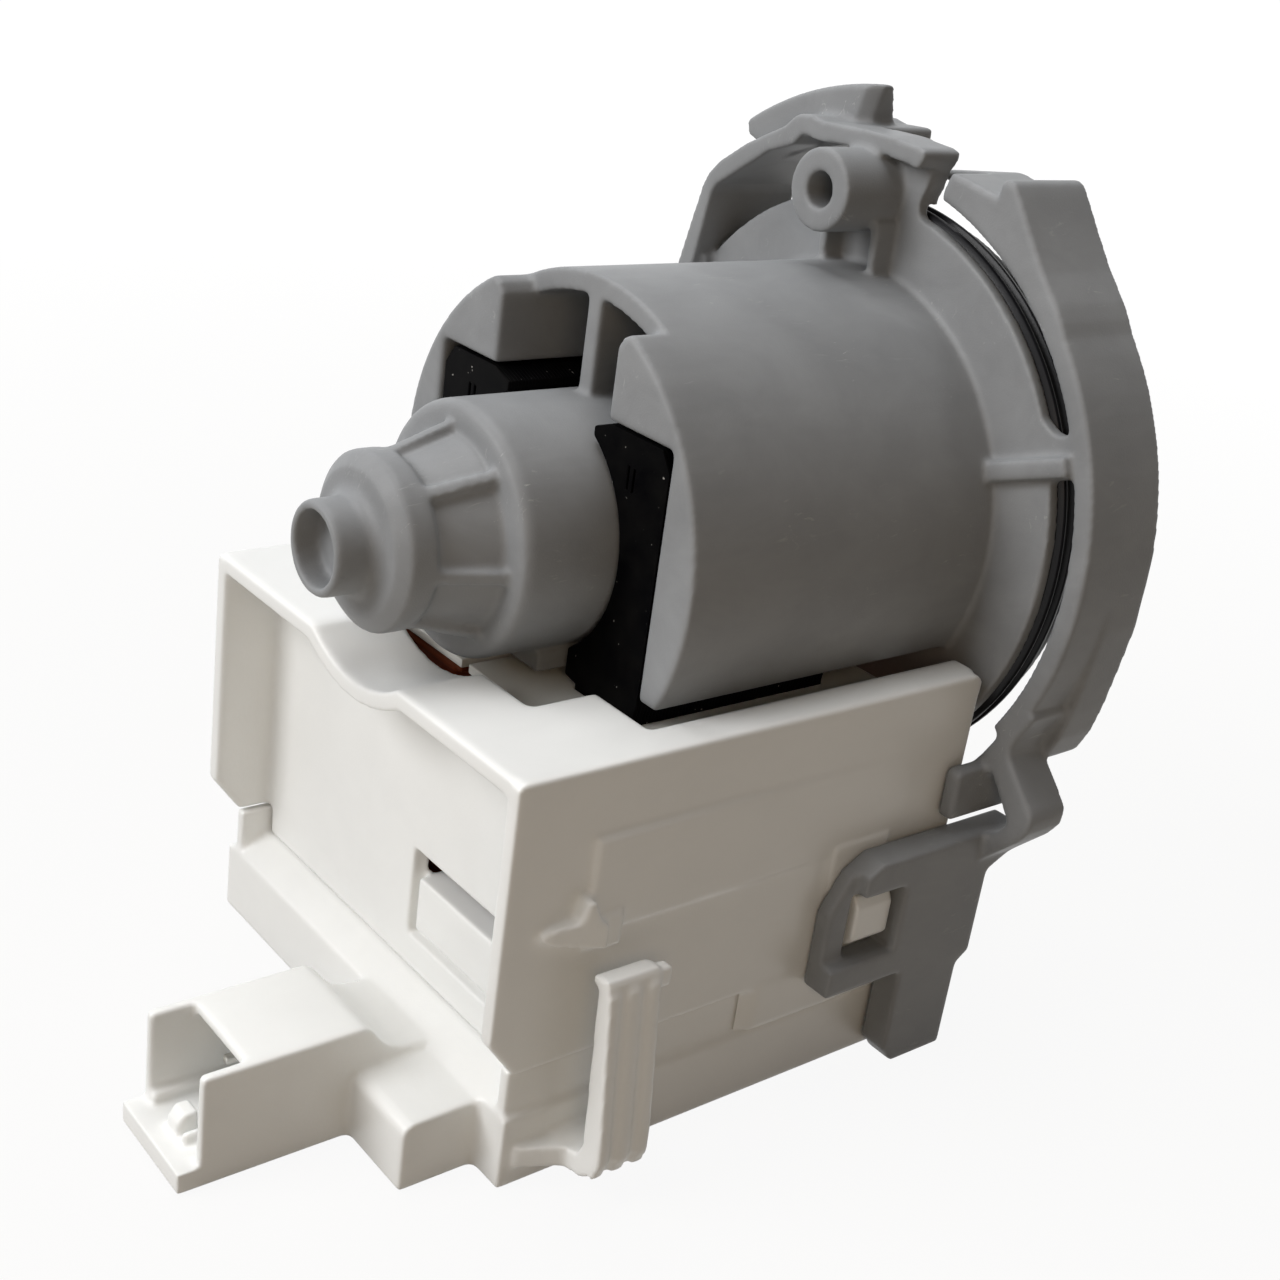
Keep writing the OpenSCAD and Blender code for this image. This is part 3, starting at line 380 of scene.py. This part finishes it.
def moulded_skin_group():
    """Skin of a moulding: slow mottling, flow marks, fine grain and pale scuffs."""
    group, given, result = new_group("Moulded skin",
        [("Colour", "NodeSocketColor", (0.5, 0.5, 0.5, 1)), ("Mottle", "NodeSocketFloat", 0.1),
         ("Scuffs", "NodeSocketFloat", 0.2), ("Roughness", "NodeSocketFloat", 0.45),
         ("Grain Size", "NodeSocketFloat", 0.3)],
        [("Colour", "NodeSocketColor"), ("Roughness", "NodeSocketFloat"),
         ("Height", "NodeSocketFloat")])
    where = add_node(group, "ShaderNodeTexCoord").outputs["Object"]
    slow = add_node(group, "ShaderNodeTexNoise", {"Vector": where, "Scale": 70.0, "Detail": 4.0,
        "Roughness": 0.55}).outputs["Fac"]
    drawn = add_node(group, "ShaderNodeMapping", {"Vector": where, "Scale": (110, 70, 120),
        "Rotation": (0.2, 0.1, 0.4)}).outputs[0]
    flow = add_node(group, "ShaderNodeTexNoise", {"Vector": drawn, "Scale": 1.0, "Detail": 5.0,
        "Roughness": 0.6, "Distortion": 0.8}).outputs["Fac"]
    both = add_node(group, "ShaderNodeMath", {0: slow, 1: flow}, operation="ADD").outputs[0]
    tone = add_node(group, "ShaderNodeMapRange", {"Value": both, "From Min": 0.7,
        "From Max": 1.3, "To Min": -0.5, "To Max": 0.5}).outputs[0]
    tone = add_node(group, "ShaderNodeMath", {0: tone, 1: given.outputs["Mottle"], 2: 1.0},
        operation="MULTIPLY_ADD").outputs[0]
    toned = add_node(group, "ShaderNodeVectorMath", {0: given.outputs["Colour"]},
        operation="SCALE")
    group.links.new(tone, toned.inputs["Scale"])
    streaks = add_node(group, "ShaderNodeMapping", {"Vector": where, "Scale": (900, 160, 520),
        "Rotation": (0.7, 0.5, 0.9)}).outputs[0]
    scratch = add_node(group, "ShaderNodeTexNoise", {"Vector": streaks, "Scale": 1.0,
        "Detail": 6.0, "Roughness": 0.7, "Distortion": 1.6}).outputs["Fac"]
    patch = add_node(group, "ShaderNodeTexNoise", {"Vector": where, "Scale": 95.0,
        "Detail": 2.0}).outputs["Fac"]
    patch = add_node(group, "ShaderNodeMapRange", {"Value": patch, "From Min": 0.52,
        "From Max": 0.72}).outputs[0]
    scratch = add_node(group, "ShaderNodeMapRange", {"Value": scratch, "From Min": 0.60,
        "From Max": 0.74}).outputs[0]
    scuff = add_node(group, "ShaderNodeMath", {0: scratch, 1: patch},
        operation="MULTIPLY").outputs[0]
    scuff = add_node(group, "ShaderNodeMath", {0: scuff, 1: given.outputs["Scuffs"]},
        operation="MULTIPLY").outputs[0]
    pale = add_node(group, "ShaderNodeMix", {0: scuff, 6: toned.outputs[0],
        7: (0.82, 0.82, 0.80, 1)}, data_type="RGBA")
    group.links.new(pale.outputs[2], result.inputs["Colour"])
    rough = add_node(group, "ShaderNodeMath", {0: slow, 1: 0.16,
        2: given.outputs["Roughness"]}, operation="MULTIPLY_ADD").outputs[0]
    rough = add_node(group, "ShaderNodeMath", {0: scuff, 1: 0.25, 2: rough},
        operation="MULTIPLY_ADD").outputs[0]
    rough = add_node(group, "ShaderNodeMath", {0: rough, 1: 0.08},
        operation="SUBTRACT").outputs[0]
    group.links.new(rough, result.inputs["Roughness"])
    many = add_node(group, "ShaderNodeMath", {0: 1000.0, 1: given.outputs["Grain Size"]},
        operation="DIVIDE").outputs[0]
    grain = add_node(group, "ShaderNodeTexNoise", {"Vector": where, "Scale": many,
        "Detail": 3.0}).outputs["Fac"]
    sink = add_node(group, "ShaderNodeTexNoise", {"Vector": where, "Scale": 42.0,
        "Detail": 1.0}).outputs["Fac"]
    tall = add_node(group, "ShaderNodeMath", {0: sink, 1: 3.0, 2: grain},
        operation="MULTIPLY_ADD").outputs[0]
    group.links.new(tall, result.inputs["Height"])
    return group


skin_group = moulded_skin_group()


def moulded(name, colour, mottle, scuffs, roughness, grain=0.3, bump=0.16, gloss=0.5):
    """A moulded or rubber finish made with the skin group."""
    look, inside, shader = new_look(name)
    skin = add_node(inside, "ShaderNodeGroup")
    skin.node_tree = skin_group
    for label, value in (("Colour", colour), ("Mottle", mottle), ("Scuffs", scuffs),
                         ("Roughness", roughness), ("Grain Size", grain)):
        skin.inputs[label].default_value = value
    relief = add_node(inside, "ShaderNodeBump", {"Height": skin.outputs["Height"],
        "Strength": bump, "Distance": 0.00012})
    inside.links.new(skin.outputs["Colour"], shader.inputs["Base Color"])
    inside.links.new(skin.outputs["Roughness"], shader.inputs["Roughness"])
    inside.links.new(relief.outputs[0], shader.inputs["Normal"])
    shader.inputs["Specular IOR Level"].default_value = gloss
    return look


def fit(piece, look, body, slot, *nodes):
    """Gives a finished piece its material and its body, and hides the nodes it stands for. The
    slot is not used.
    """
    piece.data.materials.clear()
    piece.data.materials.append(look)
    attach(piece, body)
    if nodes:
        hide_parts(*nodes)


grey_look = moulded("grey_polypropylene", GREY, 0.22, 0.5, 0.46, grain=0.22, bump=0.22,
    gloss=0.2)
grey_body = soft_copy("pump_body", "grey_body", grid=0.34, passes=11)
fit(grey_body, grey_look, "housing", "body_grey", "pump_body")

# Port seal. A ring of black rubber with two lips, pushed on the spigot behind the flange. It is
# wet looking and smooth, with a trace of dust in the groove.
rubber_look = moulded("black_rubber", (0.012, 0.012, 0.014, 1), 0.3, 0.02, 0.3, grain=0.15,
    bump=0.1, gloss=0.2)
seal_ring = rounded_copy("port_seal", "seal_ring", 0.2 * MM)
fit(seal_ring, rubber_look, "housing", "seal_rubber", "port_seal")


# Stator core. A stack of black lacquered steel sheets, half a millimetre each, with the poles
# round the rotor well. The sheet edges show as fine lines on the sides.
SHEET = 0.5 * MM
SHEET_GAP = 0.08 * MM


def sheet_steel(name):
    """Black lacquer with specks of dust over stacked sheets, ribbed along the rotor axis."""
    look, inside, shader = new_look(name)
    where = add_node(inside, "ShaderNodeTexCoord").outputs["Object"]
    depth = add_node(inside, "ShaderNodeSeparateXYZ", {0: where}).outputs["Y"]
    sheet = add_node(inside, "ShaderNodeMath", {0: depth, 1: SHEET / 2},
        operation="PINGPONG").outputs[0]
    ridge = add_node(inside, "ShaderNodeMapRange", {"Value": sheet,
        "From Max": SHEET_GAP}).outputs[0]
    cloud = add_node(inside, "ShaderNodeTexNoise", {"Vector": where, "Scale": 260.0,
        "Detail": 5.0, "Roughness": 0.6}).outputs["Fac"]
    lacquer = two_tones(inside, cloud, (0.0015, 0.0015, 0.002, 1), (0.005, 0.0048, 0.0046, 1),
        0.35, 0.75)
    rough = add_node(inside, "ShaderNodeMapRange", {"Value": cloud, "To Min": 0.24,
        "To Max": 0.5}).outputs[0]
    uneven = add_node(inside, "ShaderNodeMath", {0: cloud, 1: 0.5, 2: ridge},
        operation="MULTIPLY_ADD").outputs[0]
    relief = add_node(inside, "ShaderNodeBump", {"Height": uneven, "Strength": 0.5,
        "Distance": 0.00008})
    grit = add_node(inside, "ShaderNodeTexNoise", {"Vector": where, "Scale": 1500.0,
        "Detail": 1.0}).outputs["Fac"]
    speck = add_node(inside, "ShaderNodeMapRange", {"Value": grit, "From Min": 0.76,
        "From Max": 0.81}).outputs[0]
    dusty = add_node(inside, "ShaderNodeMix", {0: speck, 6: lacquer,
        7: (0.35, 0.34, 0.32, 1)}, data_type="RGBA")
    shader.inputs["Specular IOR Level"].default_value = 0.02
    inside.links.new(dusty.outputs[2], shader.inputs["Base Color"])
    inside.links.new(rough, shader.inputs["Roughness"])
    inside.links.new(relief.outputs[0], shader.inputs["Normal"])
    return look


core_look = sheet_steel("lacquered_sheets")
core_stack = rounded_copy("stator_core", "core_stack", 0.25 * MM)
fit(core_stack, core_look, "housing", "core_black", "stator_core")

# Bobbins. Two square tubes of glass filled nylon with a flange at each end, moulded in natural
# white. They slide on the legs of the core before the yoke is closed.
nylon_look = moulded("natural_nylon", (0.78, 0.77, 0.72, 1), 0.06, 0.05, 0.42, grain=0.35)
for side in ("left", "right"):
    bobbin = rounded_copy("bobbin_" + side, "coil_former_" + side, 0.25 * MM)
    fit(bobbin, nylon_look, "housing", "bobbin_white", "bobbin_" + side)


# Windings. Enamelled copper wire, wound turn by turn on each bobbin, red brown under its
# varnish. Each coil is ridged by its outer layer of turns.
TURNS = 46
RIDGE = 0.16 * MM
SKIN = 1.6 * MM


def wound(side):
    """The coil of one side, its outer faces pressed into the ridges of the turns."""
    node = "winding_" + side
    coil = rounded_copy(node, "coil_" + side, 0.3 * MM)
    low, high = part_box(node)
    step = (high.z - low.z) / TURNS
    only(coil)
    bpy.ops.object.mode_set(mode="EDIT")
    for i in range(1, 2 * TURNS):
        bpy.ops.mesh.select_all(action="SELECT")
        bpy.ops.mesh.bisect(plane_co=(0, 0, low.z + i * step / 2), plane_no=(0, 0, 1))
    bpy.ops.object.mode_set(mode="OBJECT")
    middle = (low + high) / 2
    for point in coil.data.vertices:
        place = (point.co.z - low.z) / step
        valley = abs(place - round(place)) * 2
        inset = RIDGE * (1 - valley)
        if low.z + 0.1 * MM < point.co.z < high.z - 0.1 * MM:
            if abs(point.co.x - middle.x) > (high.x - low.x) / 2 - SKIN:
                point.co.x -= math.copysign(inset, point.co.x - middle.x)
            if abs(point.co.y - middle.y) > (high.y - low.y) / 2 - SKIN:
                point.co.y -= math.copysign(inset, point.co.y - middle.y)
    bpy.ops.object.shade_smooth_by_angle(angle=math.radians(50))
    return coil


def enamel(name):
    """Varnished copper with streaks that follow the turns."""
    look, inside, shader = new_look(name)
    where = add_node(inside, "ShaderNodeTexCoord").outputs["Object"]
    along = add_node(inside, "ShaderNodeMapping", {"Vector": where, "Scale": (90, 90, 1900)})
    cloud = add_node(inside, "ShaderNodeTexNoise", {"Vector": along.outputs[0], "Scale": 1.0,
        "Detail": 3.0}).outputs["Fac"]
    tint = two_tones(inside, cloud, (0.15, 0.026, 0.011, 1), (0.36, 0.085, 0.030, 1), 0.3, 0.7)
    rough = add_node(inside, "ShaderNodeMapRange", {"Value": cloud, "To Min": 0.2,
        "To Max": 0.4}).outputs[0]
    inside.links.new(tint, shader.inputs["Base Color"])
    inside.links.new(rough, shader.inputs["Roughness"])
    shader.inputs["Metallic"].default_value = 0.35
    shader.inputs["Coat Weight"].default_value = 0.4
    return look


enamel_look = enamel("enamelled_copper")
for side in ("left", "right"):
    fit(wound(side), enamel_look, "housing", "winding_red", "winding_" + side)

# Thermal cut-out and lead. A small moulded switch that lies on the rear of the left coil, and
# the enamelled lead that joins it to the right coil.
fit(rounded_copy("thermal_cutout", "thermal_switch", 0.5 * MM, steps=3), nylon_look, "housing",
    "bobbin_white", "thermal_cutout")
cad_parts["coil_leads"].data.materials.clear()
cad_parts["coil_leads"].data.materials.append(enamel_look)

# Coil cover. A box of white polyester, open at the top and the back, that slides over the coils
# from the front. Its corners are generous, its skin satin, with a snap tab in its window.
WHITE = (0.842, 0.845, 0.828, 1)
# All in millimetres: the plane of the right side, how far the trim, the cleat and its block rise
# from it, and pairs of opposite corners of boxes.
COVER_SIDE = 33.6
TRIM_BAND = (0.02, 0.5)
CLEAT_BAND = (1.0, 1.2)
CLEAT_BLOCK_BAND = (1.2, 1.4)
CLEAT_TIP = -66.8
TRIM_EXTRA_FRONT, TRIM_EXTRA_REAR, BLOCK_EXTRA = 0.5, 0.05, 0.3
CLEAT_SLOPE = 0.18
TRIM_MIDDLE = -50
TAB_GROOVES = (((4.5, -65, -50), (5.5, -61.7, -38.3)),
               ((23.4, -65, -50), (24.4, -61.7, -38.3)),
               ((4.5, -65, -50.1), (24.4, -61.7, -49.1)))
BELOW_TRIM = (((33.62, -61, -50.9), (34.8, -23.6, -36)),
              ((33.62, -56.1, -36.2), (34.8, -23.6, -34)))
APRON = ((32.62, -34.2, -56.85), (33.78, -2.4, -50.1))
APRON_BEVEL_TO = -31.4
WINDOW_BOX = ((3, -66, -52), (26, -57, -37))
TRIM_BOX = ((32.6, -68, -50), (40, -4, -20))
white_look = moulded("white_polyester", WHITE, 0.035, 0.05, 0.36, grain=0.4, bump=0.10)
white_cover = merged_copy("coil_cover", "white_cover")
# The trim and the cleat stand a little prouder, so that they outlast the softening.
for point in white_cover.data.vertices:
    rise = point.co.x / MM - COVER_SIDE
    if TRIM_BAND[0] < rise < TRIM_BAND[1]:
        near_front = point.co.y < TRIM_MIDDLE * MM
        point.co.x += (TRIM_EXTRA_FRONT if near_front else TRIM_EXTRA_REAR) * MM
    elif CLEAT_BAND[0] < rise < CLEAT_BAND[1]:
        point.co.x += CLEAT_SLOPE * (point.co.y - CLEAT_TIP * MM)
    elif CLEAT_BLOCK_BAND[0] < rise < CLEAT_BLOCK_BAND[1]:
        point.co.x += BLOCK_EXTRA * MM
for low, high in BELOW_TRIM + TAB_GROOVES:
    combine(white_cover, cutter(low, high), "DIFFERENCE")
# The apron carries the side wall down over the neck of the base, behind the clip.
apron = cutter(*APRON)
for point in apron.data.vertices:
    if point.co.x > 33 * MM and point.co.y < -20 * MM:
        point.co.y = APRON_BEVEL_TO * MM
combine(white_cover, apron, "UNION")
soften(white_cover, grid=0.36, passes=9, fine=(WINDOW_BOX, TRIM_BOX))
fit(white_cover, white_look, "housing", "cover_white", "coil_cover")

# Terminal base. The same white polyester: a tray under the coils with the connector socket at
# the front, a plain block beside it and a springy clip for the cable on the right.
CLIP_BOX = ((34.6, -66, -66), (44, -52, -30))
SOCKET_BOX = ((3, -100, -64.5), (17, -77, -52.4))
white_base = soft_copy("terminal_base", "white_base", grid=0.36, passes=8,
    fine=(CLIP_BOX, SOCKET_BOX))
fit(white_base, white_look, "housing", "cover_white", "terminal_base")


# Terminal pins. Two square contacts of tinned brass, cut from wire and pressed into the base.
def bright_metal(name, colour, roughness, across):
    """Drawn or turned metal with fine marks along or round it."""
    look, inside, shader = new_look(name)
    where = add_node(inside, "ShaderNodeTexCoord").outputs["Object"]
    drawn = add_node(inside, "ShaderNodeMapping", {"Vector": where, "Scale": across}).outputs[0]
    marks = add_node(inside, "ShaderNodeTexNoise", {"Vector": drawn, "Scale": 1.0,
        "Detail": 4.0}).outputs["Fac"]
    tint = two_tones(inside, marks, tuple(0.8 * c for c in colour[:3]) + (1,), colour)
    rough = add_node(inside, "ShaderNodeMapRange", {"Value": marks, "To Min": roughness - 0.08,
        "To Max": roughness + 0.12}).outputs[0]
    relief = add_node(inside, "ShaderNodeBump", {"Height": marks, "Strength": 0.2,
        "Distance": 0.00002})
    inside.links.new(tint, shader.inputs["Base Color"])
    inside.links.new(rough, shader.inputs["Roughness"])
    inside.links.new(relief.outputs[0], shader.inputs["Normal"])
    shader.inputs["Metallic"].default_value = 1.0
    return look


tin_look = bright_metal("tinned_brass", (0.78, 0.76, 0.72, 1), 0.32, (3000, 200, 3000))
fit(rounded_copy("terminal_pins", "contact_pins", 0.25 * MM), tin_look, "housing",
    "tinned_steel", "terminal_pins")

# Bearings. Two plain ceramic bushes in black rubber boots, which let the shaft settle; they run
# in the water of the pump.
ceramic_look = moulded("bearing_ceramic", (0.72, 0.68, 0.58, 1), 0.08, 0.0, 0.3, grain=0.1)
soft_look = moulded("boot_rubber", (0.016, 0.016, 0.017, 1), 0.3, 0.04, 0.5, grain=0.2)
for place in ("front", "rear"):
    fit(rounded_copy(place + "_bearing", "bush_" + place, 0.3 * MM), ceramic_look, "housing",
        "ceramic", place + "_bearing")
    fit(rounded_copy(place + "_bearing_boot", "boot_" + place, 0.4 * MM), soft_look, "housing",
        "seal_rubber", place + "_bearing_boot")

# Closing plate with its ring seal. A dark grey moulding pushed into the open end of the rotor
# well, sealed by a rubber ring; it carries the rear bearing.
plate_look = moulded("dark_plate", (0.105, 0.11, 0.118, 1), 0.12, 0.15, 0.4)
fit(soft_copy("bearing_plate", "closing_plate", grid=0.36, passes=5), plate_look, "housing",
    "plate_grey", "bearing_plate")
fit(rounded_copy("plate_seal", "plate_ring", 0.1 * MM), rubber_look, "housing", "seal_rubber",
    "plate_seal")

# Rotor. A ground steel shaft with a two pole ferrite magnet on a nylon bush, and a washer at
# each end. It turns in the water inside the well.
steel_look = bright_metal("ground_steel", (0.62, 0.62, 0.63, 1), 0.2, (500, 4000, 500))
fit(rounded_copy("rotor_shaft", "steel_shaft", 0.1 * MM), steel_look, "rotor", "shaft_steel",
    "rotor_shaft")
ferrite_look = moulded("ferrite", (0.045, 0.045, 0.048, 1), 0.25, 0.1, 0.5, grain=0.12,
    bump=0.3)
fit(rounded_copy("rotor_magnet", "ferrite_magnet", 0.3 * MM), ferrite_look, "rotor",
    "magnet_black", "rotor_magnet")
fit(rounded_copy("magnet_bush", "nylon_bush", 0.3 * MM), nylon_look, "rotor", "bobbin_white",
    "magnet_bush")
fit(rounded_copy("thrust_washers", "end_washers", 0.12 * MM), soft_look, "rotor", "seal_rubber",
    "thrust_washers")
fit(rounded_copy("clutch_dog", "driving_dog", 0.35 * MM), nylon_look, "rotor", "bobbin_white",
    "clutch_dog")

# Impeller. Six curved blades on a plate with an open hub, moulded in pale grey plastic, a
# pressed-in cap and two rubber pads that soften the start.
pale_look = moulded("impeller_plastic", (0.60, 0.61, 0.60, 1), 0.08, 0.12, 0.36)
fit(soft_copy("impeller", "bladed_wheel", grid=0.36, passes=6), pale_look, "impeller_set",
    "impeller_plastic", "impeller")
fit(rounded_copy("impeller_cap", "hub_cap", 0.4 * MM), pale_look, "impeller_set",
    "impeller_plastic", "impeller_cap")
fit(rounded_copy("clutch_damper", "damper_pads", 0.15 * MM), soft_look, "impeller_set",
    "seal_rubber", "clutch_damper")

low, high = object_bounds()
